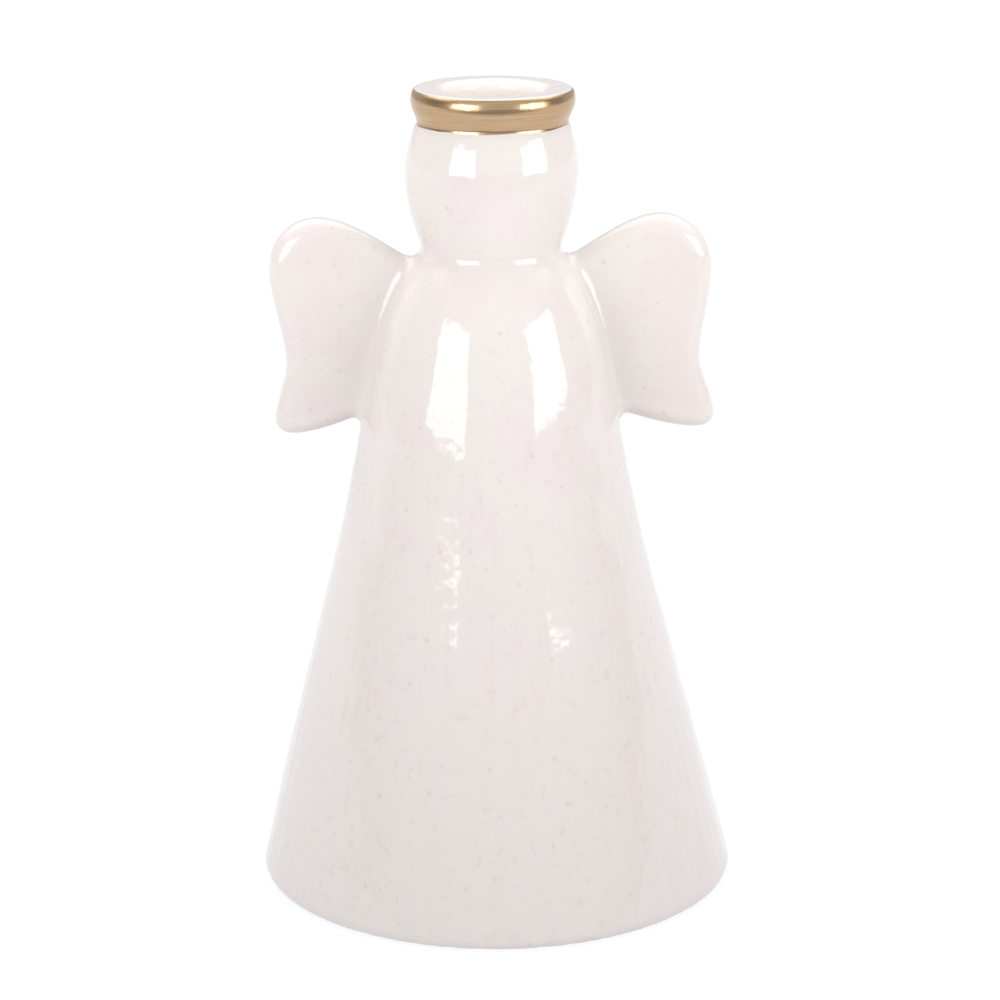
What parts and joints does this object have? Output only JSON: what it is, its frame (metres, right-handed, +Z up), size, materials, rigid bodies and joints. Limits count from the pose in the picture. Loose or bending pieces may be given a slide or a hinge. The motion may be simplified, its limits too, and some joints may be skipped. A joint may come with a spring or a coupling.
{
  "type": "angel candle holder",
  "caption": "Glazed ceramic angel with a bell dress, plate wings and a gilded collar round a taper candle socket in its head.",
  "frame": {"origin": "centre of the foot, on the surface the figure stands on", "axes": "+Z up through the candle socket, -Y the way the angel faces, X along the wings"},
  "size_m": [0.113, 0.113, 0.19],
  "materials": {
    "glaze": "glossy cream glaze with fine brown specks"
  },
  "bodies": {
    "root": {"angel_figure": "glaze"}
  },
  "joints": []
}
